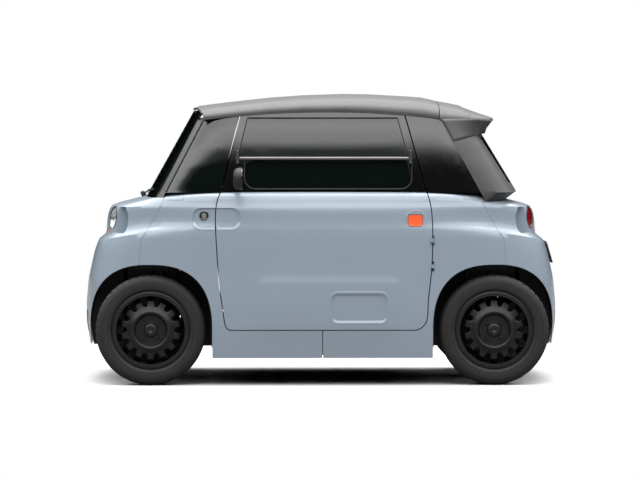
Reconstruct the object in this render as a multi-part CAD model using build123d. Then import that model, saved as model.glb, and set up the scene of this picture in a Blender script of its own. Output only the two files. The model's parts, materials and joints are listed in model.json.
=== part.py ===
from build123d import *
import math
import os

# A two-seat microcar. Front is -X, left is -Y, up is +Z, in millimetres.
# The origin lies on the ground, midway between the axles.

# Whole car
half_length = 1207
half_width = 689
wheelbase = 1728
track = 1176
panel = 12
seam = 4
door_gap = 5
fit = 0.3

# Lower body profile, one ring per row: height, rise of the ring away from the nose,
# setback from half_length, setback from half_width, squareness of the corners
body_rows = [
    (138, 0, 35, 17, 6),
    (191, 0, 19, 12, 6),
    (300, 0, 2, 4, 6),
    (400, 0, 0, 0, 6),
    (505, 0, 9, 0, 6),
    (522, 0, 11, 0, 6),
    (540, 0, 14, 1, 6),
    (558, 0, 18, 1, 6),
    (600, 0, 27, 2, 6),
    (660, 20, 41, 4, 6),
    (700, 45, 55, 6, 6),
    (722, 58, 65, 8, 6),
    (738, 60, 85, 10, 5.6),
    (750, 60, 100, 12, 5),
    (775, 58, 103, 14, 4.7),
    (810, 48, 105, 16, 4.7),
    (850, 30, 111, 18, 4.8),
    (875, 17, 119, 21, 5),
    (892, 10, 131, 24, 5.2),
    (903, 6, 162, 28, 5.6),
    (914, 12, 207, 32, 6.2),
    (930, 20, 272, 39, 7.5),
    (945, 16, 335, 49, 9),
    (958, 10, 407, 59, 10),
    (968, 4, 487, 69, 11),
    (974, 0, 557, 79, 12),
]
nose_bow = 40
side_bow = 10
belt = 974
sill_bottom = 138
bumper_bottom = 191

# Raised lower field of each door
bulge_height = 6
bulge_front, bulge_rear = -300, 345
bulge_top = 535

# Wheels and arches
tyre_radius = 277
tyre_width = 155
rim_radius = 178
rim_wall = 6
flange_radius = 195
disc_depth = 38
hole_count = 14
hole_ring = 149
hole_radius = 17
axle_radius = 17
kingpin_inset = 53
arch_length = 310
arch_height = 330
arch_power = 2.5
liner_wall = 4
liner_inner = 345

# Door outline in side view, left side
door_front = [(-507, 974), (-525, 931), (-534, 876), (-534, 775), (-525, 623), (-513, 479),
              (-496, 362), (-488, 311), (-479, 290), (-458, 281)]
door_rear = [(457, 281), (493, 291), (513, 312), (526, 391), (539, 530), (549, 679),
             (550, 782), (546, 860), (537, 920), (521, 974)]
door_thickness = 45
door_skin = 8
door_step = 15
door_top_half = 414

# Cabin top
screen_base_x, screen_base_z = -901, 938
screen_slope = 0.5585
tail_base_x, tail_base_z = 1009, 968
tail_slope = 0.606
lip_x, lip_z = 955, 928
cabin_widths = [(920, 636), (974, 626), (1100, 604), (1200, 584), (1300, 561), (1370, 541), (1410, 529)]
cabin_power = 12
cabin_bow = 60
cabin_side_bow = 0
glass = 5
roof_wall = 8
roof_power = 2.8
roof_line = [(-652, 1388), (-640, 1397), (-627, 1404), (-560, 1413), (-428, 1429), (-262, 1447),
             (-96, 1459), (112, 1466), (246, 1464), (444, 1453), (515, 1448), (590, 1431)]
spoiler_line = [(594, 1430), (650, 1420), (709, 1408), (731, 1396), (800, 1371), (868, 1348)]
spoiler_widths = [548, 547, 543, 540, 515, 470]

# Structure
floor_z = 240
floor_wall = 6
rail_low = 180
rail_y = 310
tube = 40


def between(table, value):
    """Straight reading between the rows of a two-column table."""
    for (a, va), (b, vb) in zip(table, table[1:]):
        if value <= b:
            break
    share = (value - a) / (b - a)
    return va + share * (vb - va)


def smooth(value):
    """Soft step from 0 to 1."""
    value = min(max(value, 0.0), 1.0)
    return value * value * (3 - 2 * value)


def ring_point(angle, row, inset):
    """A point of a body or cabin ring, seen from above at the given angle."""
    z, rise, centre, length, width, power, end_bow, side, bulge = row
    length = length - inset
    width = width - inset
    cosine, sine = math.cos(angle), math.sin(angle)
    across = half_length * math.copysign(abs(cosine) ** 0.72, cosine)
    along = half_width * math.copysign(abs(sine) ** 0.72, sine)
    size = math.hypot(across, along)
    cosine, sine = across / size, along / size
    a = length - end_bow
    b = width - side
    radius = (abs(cosine / a) ** power + abs(sine / b) ** power) ** (-1 / power)
    x0, y0 = radius * cosine, radius * sine
    x = x0 * (1 + end_bow / a * (1 - (y0 / b) ** 2))
    y = y0 * (1 + side / b * (1 - (x0 / a) ** 2))
    if bulge and y < 0:
        ramp = smooth((x - bulge_front + 60) / 60) * smooth((bulge_rear + 60 - x) / 60)
        y = y - bulge * ramp
    lift = rise * (1 - math.exp(-(1 - abs(x0) / a) / 0.15))
    return Vector(x + centre, y, z + lift)


def lower_rows(low=0, high=9999, raise_by=0):
    """Rings of the lower body from one height to another."""
    rows = []
    for z, rise, back, side, power in body_rows:
        if low <= z <= high:
            bulge = bulge_height * smooth((bulge_top + 25 - z) / 50) if z > sill_bottom + 60 else 0
            rows.append((z + raise_by, rise, 0, half_length - back, half_width - side, power,
                         nose_bow, side_bow, bulge))
    return rows


def cabin_side(z):
    """Half width of the cabin at a height."""
    return between(cabin_widths, z)


def screen_x(z):
    return screen_base_x + screen_slope * (z - screen_base_z)


def tail_x(z):
    if z < tail_base_z:
        return lip_x + (z - lip_z) * (tail_base_x - lip_x) / (tail_base_z - lip_z)
    return tail_base_x - tail_slope * (z - tail_base_z)


def cabin_rows(heights):
    """Rings of the glazed cabin at the given heights."""
    rows = []
    for z in heights:
        front, rear = screen_x(z), tail_x(z)
        rows.append((z, 0, (front + rear) / 2, (rear - front) / 2, cabin_side(z), cabin_power,
                     cabin_bow, cabin_side_bow, 0))
    return rows


cabin_heights = [925, lip_z + 17, tail_base_z, 1030, 1100, 1200, 1300, 1370, 1405]


def band(rows, start, end, outer, inner, steps):
    """A wall that follows the rings from one angle to another, between two insets."""
    wires = []
    for row in rows:
        angles = [math.radians(start + (end - start) * i / steps) for i in range(steps + 1)]
        out = [ring_point(angle, row, outer) for angle in angles]
        back = [ring_point(angle, row, inner) for angle in angles]
        wires.append(Wire([Edge.make_spline(out), Edge.make_line(out[-1], back[-1]),
                           Edge.make_spline(back), Edge.make_line(back[0], out[0])]))
    return Solid.make_loft(wires, ruled=True)


def filled(rows, inset, steps=64):
    """The whole space within the rings, less an inset."""
    wires = []
    for row in rows:
        angles = [2 * math.pi * i / steps for i in range(steps)]
        points = [ring_point(angle, row, inset) for angle in angles]
        wires.append(Wire([Edge.make_spline(points, periodic=True)]))
    return Solid.make_loft(wires, ruled=True)


def side_band(rows, outer, inner):
    """Whole left side, between the corners."""
    return band(rows, 207, 333, outer, inner, 40)


def door_band(rows, outer, inner):
    """Middle of the left side, a little wider than the door."""
    return band(rows, 243, 297, outer, inner, 26)


def front_band(rows, outer, inner):
    return band(rows, 112, 248, outer, inner, 32)


def rear_band(rows, outer, inner):
    return band(rows, -68, 68, outer, inner, 32)


def prism(edges, low=-900, high=0):
    """A side-view outline carried across the car from one Y to another."""
    face = Face(Wire(edges))
    return Solid.extrude(face.moved(Location((0, low, 0))), Vector(0, high - low, 0))


def polygon(points):
    """Edges of a closed outline in side view."""
    corners = [Vector(x, 0, z) for x, z in points]
    return [Edge.make_line(a, b) for a, b in zip(corners, corners[1:] + corners[:1])]


def spline(points):
    return Edge.make_spline([Vector(x, 0, z) for x, z in points])


def rounded(x0, x1, z0, z1, radius):
    """A rounded rectangle in side view, as a face on the middle plane."""
    sketch = Plane.XZ * Pos((x0 + x1) / 2, (z0 + z1) / 2) * RectangleRounded(x1 - x0, z1 - z0, radius)
    return sketch.faces()[0]


def face_prism(face, low=-900, high=0):
    return Solid.extrude(face.moved(Location((0, low, 0))), Vector(0, high - low, 0))


def shifted(points, amount):
    """Points moved outwards from the door, square to the line through them."""
    moved = []
    for i, (x, z) in enumerate(points):
        xa, za = points[max(i - 1, 0)]
        xb, zb = points[min(i + 1, len(points) - 1)]
        size = math.hypot(xb - xa, zb - za)
        moved.append((x + (zb - za) / size * amount, z - (xb - xa) / size * amount))
    return moved


def door_outline(grow):
    """Lower outline of the door, grown on all sides."""
    front = shifted(door_front, grow)
    rear = shifted(door_rear, grow)
    front[0] = (door_front[0][0] - grow, belt)
    rear[-1] = (door_rear[-1][0] + grow, belt)
    top = belt + 1
    a, b = Vector(front[-1][0], 0, front[-1][1]), Vector(rear[0][0], 0, rear[0][1])
    c, d = Vector(rear[-1][0], 0, belt), Vector(front[0][0], 0, belt)
    c2, d2 = Vector(rear[-1][0], 0, top), Vector(front[0][0], 0, top)
    return [spline(front), Edge.make_line(a, b), spline(rear), Edge.make_line(c, c2),
            Edge.make_line(c2, d2), Edge.make_line(d2, d)]


def roof_edge(x):
    """Height of the lower edge of the roof."""
    return 1376 - 1.05e-4 * (x - 20) ** 2


def door_top_outline(grow, flip=False):
    """Outline of the door above the belt, grown at its ends and top. Flipped, it is the right door's."""
    xs = [-door_top_half + 2 * door_top_half * i / 8 for i in range(9)]
    top = [(x, roof_edge(x) - door_gap + grow) for x in xs]
    top[0] = (top[0][0] - grow, top[0][1])
    top[-1] = (top[-1][0] + grow, top[-1][1])
    low = belt
    front, rear = door_front[0][0] - grow, door_rear[-1][0] + grow
    if flip:
        front, rear = -rear, -front
    corners = [Vector(top[-1][0], 0, top[-1][1]), Vector(rear, 0, low), Vector(front, 0, low),
               Vector(top[0][0], 0, top[0][1])]
    return [spline(top)] + [Edge.make_line(a, b) for a, b in zip(corners, corners[1:])]


def arch(grow, low=-900, high=900, centre=-wheelbase / 2):
    """Space of a wheel arch, carried across the car."""
    points = []
    for i in range(13):
        angle = math.pi * i / 12
        cosine, sine = math.cos(angle), math.sin(angle)
        x = math.copysign(abs(cosine) ** (2 / arch_power), cosine)
        z = abs(sine) ** (2 / arch_power)
        points.append((centre + (arch_length + grow) * x, tyre_radius + (arch_height + grow) * z))
    first, last = points[0], points[-1]
    down = [(last[0], 0), (first[0], 0)]
    a, b = Vector(last[0], 0, last[1]), Vector(*(down[0][0], 0, down[0][1]))
    c, d = Vector(down[1][0], 0, down[1][1]), Vector(first[0], 0, first[1])
    return prism([spline(points), Edge.make_line(a, b), Edge.make_line(b, c), Edge.make_line(c, d)], low, high)


def turned(shape):
    """The same piece on the other side, half a turn about the vertical."""
    return shape.rotate(Axis.Z, 180)


def mirrored(shape):
    return shape.mirror(Plane.XZ)


def box(x0, x1, y0, y1, z0, z1):
    return Pos((x0 + x1) / 2, (y0 + y1) / 2, (z0 + z1) / 2) * Box(x1 - x0, y1 - y0, z1 - z0)


def rod(a, b, radius):
    """A round bar from one point to another."""
    a, b = Vector(*a), Vector(*b)
    return Solid.make_cylinder(radius, (b - a).length, Plane(origin=a, z_dir=b - a))


def joined(parts):
    """All parts as one solid."""
    whole = parts[0]
    for part in parts[1:]:
        whole = whole + part
    return whole


clip_seam = [(-760, 1100), (-772, 985), (-790, 955), (-853, 822), (-912, 738), (-924, 617), (-924, 100)]


def clip_side(offset):
    """Region ahead of the seam between the clip and the side panels."""
    line = [(x + offset, z) for x, z in clip_seam]
    return [(-1400, 100), (-1400, 1100)] + line


handle_x0, handle_x1, handle_z0, handle_z1 = -653, -411, 786, 892
handle_depth = 6
handle_radius = 45


def handle_hollow():
    """The shallow dish that runs across the front gap of the door."""
    layer = band(lower_rows(700, 960), 236, 290, -10, handle_depth, 16)
    return layer & face_prism(rounded(handle_x0, handle_x1, handle_z0, handle_z1, handle_radius))


def corner_outline(grow):
    """Side view of the recess in the corner of the nose."""
    corners = [(-1150 - grow, 892 + grow), (-992 + grow, 893 + grow), (-977 + grow, 850), (-983 + grow, 790),
               (-1001 + grow, 761 - grow), (-1150 - grow, 765 - grow)]
    return polygon(corners)


def front_clip():
    """Bumper, nose and bonnet in one moulding, with lamp holes and corner recesses."""
    skin = front_band(lower_rows(bumper_bottom), 0, panel)
    rows = lower_rows(722, 935)
    cup = band(rows, 198, 246, 5, recess_depth + 5, 24) & prism(corner_outline(5), -900, -recess_y + 5)
    hollow = band(rows, 196, 248, -15, recess_depth, 24) & prism(corner_outline(0), -900, -recess_y)
    skin = skin + cup + mirrored(cup) - hollow - mirrored(hollow)
    skin = skin & prism(polygon(clip_side(-seam / 2)), -900, 900)
    skin = skin - arch(0)
    skin = skin - top_opening()
    for side in (-1, 1):
        skin = skin - rod((-1300, side * lamp_y, lamp_z), (-900, side * lamp_y, lamp_z), lamp_radius + fit)
        skin = skin - rod((-1300, side * marker_y, marker_z), (-900, side * marker_y, marker_z), marker_radius + fit)
    return skin


lamp_y, lamp_z, lamp_radius = 396, 836, 55
marker_y, marker_z, marker_radius = 350, 772, 17
recess_y, recess_depth = 462, 40


def top_opening():
    """Space of the cabin above the body, where the clips are open."""
    return filled(cabin_rows([880, 925, 1100]), 30)


def lamps(y, z, radius):
    """A pair of round lamps with flush faces in the nose."""
    inside = filled(lower_rows(700, 903), 1)
    parts = []
    for side in (-1, 1):
        parts.append(rod((-1300, side * y, z), (-half_length + 207, side * y, z), radius) & inside)
    return parts


def side_panel_front(dish):
    """Fender and the front half of the sill, left side."""
    skin = side_band(lower_rows(sill_bottom), 0, panel)
    skin = skin & box(-1100, -seam / 2, -900, 0, sill_bottom - 1, belt + 1)
    skin = skin - prism(polygon(clip_side(seam / 2)))
    skin = skin - prism(door_outline(door_gap))
    skin = skin - arch(0)
    return skin - dish


def side_panel_rear():
    """Rear fender and the rear half of the sill, left side."""
    skin = side_band(lower_rows(sill_bottom), 0, panel)
    skin = skin & box(seam / 2, 1100, -900, 0, sill_bottom - 1, belt + 1)
    skin = skin - prism(polygon([(-x, z) for x, z in clip_side(seam / 2)]))
    skin = skin - prism(door_outline(door_gap))
    skin = skin - arch(0, centre=wheelbase / 2)
    for notch in hinge_notches(hinge_x + 6.3):
        skin = skin - notch
    return skin


pocket_x0, pocket_x1, pocket_z0, pocket_z1 = 42, 325, 317, 463
pocket_depth = 6
marker_x0, marker_x1, marker_z0, marker_z1 = 430, 501, 801, 857
marker_hollow = 6
window_bar_low, window_bar_high = 1133, 1147
window_low = 988
window_margin = 36


def door_shell(dish):
    """Lower door and upper frame in one, with both windows cut and the hinge knuckles."""
    rows = lower_rows(191)
    upper_rows = cabin_rows([belt, 1030, 1100, 1200, 1300, 1370, 1405])
    shell = door_band(rows, 0, door_skin) & prism(door_outline(0))
    shell = shell + (door_band(rows, door_skin, door_thickness) & prism(door_outline(-door_step)))
    frame = door_band(upper_rows, 0, door_skin) & prism(door_top_outline(0))
    inner = door_band(upper_rows, door_skin, door_thickness - 8) & prism(door_top_outline(-door_step))
    frame = (frame + inner) - prism(upper_window()) - face_prism(lower_window())
    shell = shell + frame
    shell = shell - dish
    shell = shell - (door_band(lower_rows(191, 600), -12, pocket_depth)
                     & face_prism(rounded(pocket_x0, pocket_x1, pocket_z0, pocket_z1, 34)))
    shell = shell - (door_band(lower_rows(700, 930), -12, marker_hollow)
                     & face_prism(rounded(marker_x0 - 3, marker_x1 + 3, marker_z0 - 3, marker_z1 + 3, 14)))
    for z in hinge_heights:
        shell = shell - rod((hinge_x, hinge_y, z - hinge_room), (hinge_x, hinge_y, z + hinge_room), knuckle_radius + 2)
        leaf = box(hinge_x - 30, hinge_x - 6, hinge_y + 8, hinge_y + 30, z - knuckle_half, z + knuckle_half)
        link = box(hinge_x - 12, hinge_x, hinge_y - 2, hinge_y + 12, z - knuckle_half, z + knuckle_half)
        ring = rod((hinge_x, hinge_y, z - knuckle_half), (hinge_x, hinge_y, z + knuckle_half), knuckle_radius)
        bore = rod((hinge_x, hinge_y, z - hinge_room), (hinge_x, hinge_y, z + hinge_room), pin_radius + fit)
        shell = shell + (leaf + link + ring - bore)
    return shell


hinge_x, hinge_y = 552.5, -(half_width - 3)
hinge_heights = (600, 730)
hinge_room = 24
knuckle_radius, knuckle_half = 5.5, 10
pin_radius = 3


def door_hinges():
    """Fixed halves of the hinges: a block with two ears and the pin."""
    parts = []
    for z in hinge_heights:
        low, high = z - hinge_room + 1, z + hinge_room - 1
        part = box(hinge_x + 6.5, hinge_x + 20, hinge_y + 22, hinge_y + 42, low, high)
        part = part + rod((hinge_x, hinge_y, low), (hinge_x, hinge_y, high), pin_radius)
        for start in (low, high - 8):
            part = part + box(hinge_x - 2, hinge_x + 6, hinge_y - 2, hinge_y + 26, start, start + 8)
            part = part + box(hinge_x + 1, hinge_x + 10, hinge_y + 20, hinge_y + 26, start, start + 8)
        parts.append(part)
    return parts


def hinge_notches(end):
    """Room for the fixed hinge halves in what lies behind the door, as far as the given end."""
    parts = []
    for z in hinge_heights:
        parts.append(box(hinge_x - 5, end, -900, -500, z - hinge_room, z + hinge_room))
    return parts


def upper_window():
    """Edges of the fixed upper window of the door."""
    front = door_front[0][0] + window_margin + 4
    rear = door_rear[-1][0] - window_margin - 4
    slope_front = (-door_top_half - door_front[0][0]) / (1362 - belt)
    slope_rear = (door_top_half - door_rear[-1][0]) / (1362 - belt)
    low, high = window_bar_high, 1345
    return polygon([(front + slope_front * (low - belt), low), (rear + slope_rear * (low - belt), low),
                    (rear + slope_rear * (high - belt), high), (front + slope_front * (high - belt), high)])


def lower_window():
    """Face of the lower, hinged window of the door."""
    return rounded(-388, 448, window_low, window_bar_low, 50)


def door_glass():
    """Fixed upper pane and lower flap, seated in the frame."""
    layer = door_band(cabin_rows([belt, 1030, 1100, 1200, 1300, 1370, 1405]), 8, 8 + glass)
    return [layer & prism(upper_window()), layer & face_prism(lower_window())]


def door_marker():
    """Orange marker lamp in its hollow at the rear of the door."""
    layer = door_band(lower_rows(700, 930), 0.5, marker_hollow)
    return layer & face_prism(rounded(marker_x0, marker_x1, marker_z0, marker_z1, 12))


def above_edge():
    """Side view of everything above the lower edge of the roof and the spoiler."""
    edge = [(x, roof_edge(x) - 0.5) for x in [-700 + 129.2 * i for i in range(11)]]
    corners = [edge[-1], (edge[-1][0], spoiler_edge - 0.5), (1000, spoiler_edge - 0.5), (1000, 1700),
               (-1000, 1700), (-1000, edge[0][1]), edge[0]]
    points = [Vector(x, 0, z) for x, z in corners]
    return prism([spline(edge)] + [Edge.make_line(a, b) for a, b in zip(points, points[1:])], -900, 900)


def above_roof():
    """Everything above the under side of the roof's front end, to trim the windscreen."""
    wires = []
    for x in (-760, -652, -560, -428):
        near = max(x, roof_line[0][0])
        low, top, half = roof_station(near)[1:]
        points = roof_section(x, low - 0.5, top - 1, half, roof_wall + 1)
        outer = [points[-1], Vector(x, 760, low - 0.5), Vector(x, 760, 1700), Vector(x, -760, 1700),
                 Vector(x, -760, low - 0.5), points[0]]
        wires.append(Wire([Edge.make_spline(points)]
                          + [Edge.make_line(a, b) for a, b in zip(outer, outer[1:])]))
    return Solid.make_loft(wires, ruled=True)


spoiler_edge = 1328


def roof_section(x, low, top, half, inset):
    """Points of the roof's cross-section at one place along the car."""
    points = []
    for i in range(21):
        angle = math.pi * i / 20
        cosine, sine = math.cos(angle), math.sin(angle)
        y = -(half - inset) * math.copysign(abs(cosine) ** (2 / roof_power), cosine)
        z = low + (top - inset - low) * abs(sine) ** (2 / roof_power)
        points.append(Vector(x, y, z))
    return points


def roof_shell(stations, outer, inner):
    """A crowned shell along the car. A station is x, lower edge, top and half width."""
    wires = []
    for x, low, top, half in stations:
        out = roof_section(x, low, top, half, outer)
        back = roof_section(x, low, top, half, inner)
        back.reverse()
        wires.append(Wire([Edge.make_spline(out), Edge.make_line(out[-1], back[0]),
                           Edge.make_spline(back), Edge.make_line(back[-1], out[0])]))
    return Solid.make_loft(wires, ruled=True)


def roof_station(x, top=None):
    low = roof_edge(x)
    half = cabin_side(low) - cabin_side_bow * (x / 900) ** 2
    return (x, low, between(roof_line, x) if top is None else top, half)


def roof():
    shell = roof_shell([roof_station(x, top) for x, top in roof_line], 0, roof_wall)
    front = [Vector(-800, -700, 1200), Vector(-596, -700, 1200), Vector(-600, -545, 1200),
             Vector(-652, 0, 1200), Vector(-600, 545, 1200), Vector(-596, 700, 1200), Vector(-800, 700, 1200)]
    edges = [Edge.make_line(front[0], front[1]), Edge.make_line(front[1], front[2]),
             Edge.make_three_point_arc(front[2], front[3], front[4]),
             Edge.make_line(front[4], front[5]), Edge.make_line(front[5], front[6]),
             Edge.make_line(front[6], front[0])]
    return shell - Solid.extrude(Face(Wire(edges)), Vector(0, 0, 300))


def roof_fill(stations, inset):
    """The space under a crowned shell, down to 150 mm below its edge."""
    wires = []
    for x, low, top, half in stations:
        arc = roof_section(x, low, top, half, inset)
        outer = [arc[-1], Vector(x, half - inset, low - 150), Vector(x, inset - half, low - 150), arc[0]]
        wires.append(Wire([Edge.make_spline(arc)] + [Edge.make_line(a, b) for a, b in zip(outer, outer[1:])]))
    return Solid.make_loft(wires, ruled=True)


def spoiler():
    """Rear end of the roof, drawn out to a sharp edge over the rear window."""
    stations = [(x, spoiler_edge, top, half) for (x, top), half in zip(spoiler_line, spoiler_widths)]
    shell = roof_shell(stations, 0, roof_wall)
    lip = prism(polygon([(867, 1380), (867, 1330), (834, 1287), (829, 1265), (815, 1262), (818, 1290),
                         (848, 1330), (848, 1380)]), -430, 430)
    lip = (lip & roof_fill(stations, 3)) - filled(cabin_rows([1200, 1300, spoiler_edge - fit]), -fit)
    return shell + lip


screen_edge = [(-819, 964), (-601, 1391)]
glass_edge = [(-787, 972), (-597, 1339)]


def line_region(line, side):
    """Everything on one side of a slanting line in side view."""
    (xa, za), (xb, zb) = line
    slope = (xb - xa) / (zb - za)
    low, high = 850, 1500
    far = side * 1500
    return polygon([(xa + slope * (low - za), low), (xa + slope * (high - za), high), (far, high), (far, low)])


def moved_line(line, amount):
    return [(x + amount, z) for x, z in line]


def on_body():
    """The lower body as a solid, grown a little, to trim what stands on it."""
    return filled(lower_rows(850, raise_by=0.5), -0.4)


def windscreen():
    skin = front_band(cabin_rows(cabin_heights), 0, glass)
    skin = skin & prism(line_region(moved_line(screen_edge, -0.4), -1), -900, 900)
    return skin - body_top - roof_space


def front_pillar():
    """Grey strip between the windscreen and the quarter window, left side."""
    skin = side_band(cabin_rows(cabin_heights), 0, glass)
    skin = skin & prism(line_region(moved_line(screen_edge, 0.4), 1)) & prism(line_region(moved_line(glass_edge, -0.4), -1))
    return skin - body_top - edge_space


def quarter_glass(belt_x):
    """Front quarter window, up to the door's front edge at the belt."""
    skin = side_band(cabin_rows(cabin_heights[2:]), 0, glass)
    skin = skin & prism(line_region(moved_line(glass_edge, 0.4), 1))
    skin = skin & prism(line_region([(belt_x - door_gap, belt), (-door_top_half - door_gap, 1362)], -1))
    return skin - body_top - edge_space


tail_edge = [(797, 968), (597, 1334)]


def rear_quarter(belt_x):
    """Gloss panel behind the door, from the door's rear edge at the belt."""
    skin = side_band(cabin_rows(cabin_heights[2:]), 0, glass)
    skin = skin & prism(line_region([(belt_x + door_gap, belt), (door_top_half + door_gap, 1362)], 1))
    skin = skin & prism(line_region(moved_line(tail_edge, -0.6), -1))
    return skin - body_top - edge_space


window_half, rear_window_low, rear_window_high = 440, 1015, 1245


def tail_panel():
    """Panel round the rear of the cabin, with the rear window cut."""
    skin = rear_band(cabin_rows([lip_z + 2, tail_base_z, 1030, 1100, 1200, 1300, spoiler_edge - 0.5]), 0, glass)
    skin = skin & prism(line_region(moved_line(tail_edge, 0.2), 1), -900, 900)
    skin = skin - box(700, 1100, -window_half, window_half, rear_window_low, rear_window_high)
    return skin - body_top


def rear_window():
    skin = rear_band(cabin_rows([lip_z + 2, tail_base_z, 1030, 1100, 1200, 1300, spoiler_edge - 0.5]), 0, glass)
    return skin & box(700, 1100, -window_half, window_half, rear_window_low, rear_window_high)


def wheel_liner():
    """Liner of one front wheel arch, left side: a tunnel with an open inner notch."""
    tunnel = arch(-fit, -half_width + 25, -liner_inner) - arch(-fit - liner_wall, -half_width, -liner_inner - liner_wall)
    tunnel = tunnel & box(-1300, -400, -900, 0, bumper_bottom, 700)
    tunnel = tunnel & filled(lower_rows(sill_bottom), panel + fit)
    centre = -wheelbase / 2
    return tunnel - box(centre - 145, centre + 145, -liner_inner - 20, -liner_inner + 20, 0, 590)


post_x = -1060
tower_half = 125
tower_top = 590
sill_inner, sill_outer = 595, 645


def chassis_half():
    """Front half of the welded frame."""
    inside = filled(lower_rows(sill_bottom), panel + fit)
    axle = -wheelbase / 2
    parts = [box(post_x, post_x + tube, -rail_y, rail_y, rail_low, floor_z),
             box(-500, -450, -sill_outer, sill_outer, rail_low, floor_z),
             box(-25, 0, -sill_outer, sill_outer, rail_low, floor_z)]
    for side in (-1, 1):
        y = side * rail_y
        sill = sorted((side * sill_inner, side * sill_outer))
        plate = sorted((side * rail_y, side * 440))
        parts.append(box(post_x, 0, y - tube / 2, y + tube / 2, rail_low, floor_z))
        parts.append(box(-540, 0, sill[0], sill[1], sill_bottom + 14, floor_z))
        parts.append(box(post_x, post_x + tube, y - tube / 2, y + tube / 2, floor_z, 860))
        parts.append(box(-600, -560, y - tube / 2, y + tube / 2, floor_z, 300))
        parts.append(box(axle - tower_half, axle + tower_half, y - tube / 2, y + tube / 2, floor_z, tower_top)
                     - box(axle - 80, axle + 80, y - tube, y + tube, floor_z, 500))
        parts.append(box(axle - 80, axle + 80, plate[0], plate[1], tower_top - 18, tower_top))
    half = rail_y + tube / 2
    for low, high in ((410, 460), (700, 730), (820, 860)):
        parts.append(box(-half_length, post_x + tube, -half, half, low, high) & inside)
    parts.append(box(-half_length, -wheelbase / 2 - arch_length - 2, -450, 450, 410, 460) & inside)
    return joined(parts)


def chassis_frame():
    half = chassis_half()
    return half + turned(half)


def frame_region(top_shift):
    """Side view of the cabin frame, up to a little over or under the roof's edge."""
    outline = [(x, roof_edge(x) + top_shift) for x in [-622 + 122 * i for i in range(11)]]
    corners = [Vector(outline[-1][0], 0, outline[-1][1]), Vector(790, 0, belt), Vector(-808, 0, belt),
               Vector(outline[0][0], 0, outline[0][1])]
    return prism([spline(outline)] + [Edge.make_line(a, b) for a, b in zip(corners, corners[1:])])


def door_jamb():
    """Inner frame of the lower body round the left door."""
    jamb = side_band(lower_rows(sill_bottom), panel + 2 * fit, 60)
    jamb = jamb & (prism(door_outline(45)) - prism(door_outline(door_gap)))
    jamb = jamb - arch(2) - arch(2, centre=wheelbase / 2)
    jamb = jamb - box(-700, 700, -900, 0, 0, floor_z + 2 * fit + floor_wall)
    jamb = jamb - box(-700, 700, -560, 0, 940, belt + 1)
    for notch in hinge_notches(hinge_x + 16.3):
        jamb = jamb - notch
    for hinge in door_hinges():
        jamb = jamb + hinge
    return jamb


def cabin_side_frame(flip):
    """Pillars and roof rail of the left side, or flipped for the right side's door."""
    rows = cabin_rows([belt, 1030, 1100, 1200, 1300, 1370, 1405])
    frame = side_band(rows, glass + fit, 10) & frame_region(-1)
    frame = frame + (side_band(rows, 10, 45) & frame_region(8))
    frame = frame - prism(door_top_outline(door_gap, flip)) - box(592, 650, -900, 0, 1326, 1430)
    rail = []
    for x in [-600 + 132 * i for i in range(10)]:
        low, half = roof_edge(x) + 0.5, roof_station(x)[3] - roof_wall - 4
        rail.append(Wire.make_polygon([(x, -half, low), (x, -half + 30, low), (x, -half + 30, low + 15),
                                       (x, -half, low + 15)], close=True))
    frame = frame + Solid.make_loft(rail, ruled=True)
    front = polygon([(-730, belt + 30), (-560, belt + 30), (-470, 1300), (-575, 1290)])
    rear = polygon([(570, belt + 30), (740, belt + 30), (580, 1290), (485, 1300)])
    return frame - prism(front) - prism(rear)


def cross_bows():
    """Two bows under the roof, at its front and rear ends."""
    front = roof_shell([roof_station(-590), roof_station(-560)], roof_wall + fit, 28)
    rear = roof_shell([roof_station(560), roof_station(588)], roof_wall + fit, 28)
    return [front, rear]


def bulkheads():
    """Walls and shelf that close the cabin to the front and the rear."""
    front = [box(-551, -545, -600, 600, floor_z + fit, 640), box(-760, -545, -335, 335, 634, 640),
             box(-766, -760, -335, 335, 634, 891.7)]
    rear = [box(545, 551, -600, 600, floor_z + fit, 640), box(545, 900, -335, 335, 634, 640),
            box(900, 906, -335, 335, 634, 900)]
    return joined(front), joined(rear)


def floor_pan():
    return box(-546, 546, -sill_outer + 3, sill_outer - 3, floor_z + fit, floor_z + fit + floor_wall)


def front_suspension():
    """Upper and lower arms with their dampers, both front wheels."""
    x, y = -wheelbase / 2, -(track / 2 - kingpin_inset)
    parts = []
    for z in (tyre_radius - 108, tyre_radius + 92.3):
        pivot = -rail_y - tube / 2 - fit
        arm = Face(Wire.make_polygon([(x - 24, y, z), (x - 120, pivot, z), (x - 85, pivot, z), (x, y + 45, z),
                                      (x + 85, pivot, z), (x + 120, pivot, z), (x + 24, y, z)]))
        parts.append(Solid.extrude(arm, Vector(0, 0, 15.7)) + rod((x, y, z), (x, y, z + 15.7), 24))
    damper = rod((x + 50, -415, tyre_radius - 100), (x + 50, -415, tower_top - 18.3), 20)
    return parts[0] + damper + parts[1]


def knuckle():
    """Left front knuckle: post on the kingpin, stub axle and brake plate."""
    x, y, z = -wheelbase / 2, -(track / 2 - kingpin_inset), tyre_radius
    post = rod((x, y, z - 92), (x, y, z + 92), 18)
    stub = rod((x, y, z), (x, -track / 2 - 25, z), axle_radius - fit)
    plate = rod((x, y - 20, z), (x, y - 27, z), 88)
    return post + stub + plate


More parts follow.
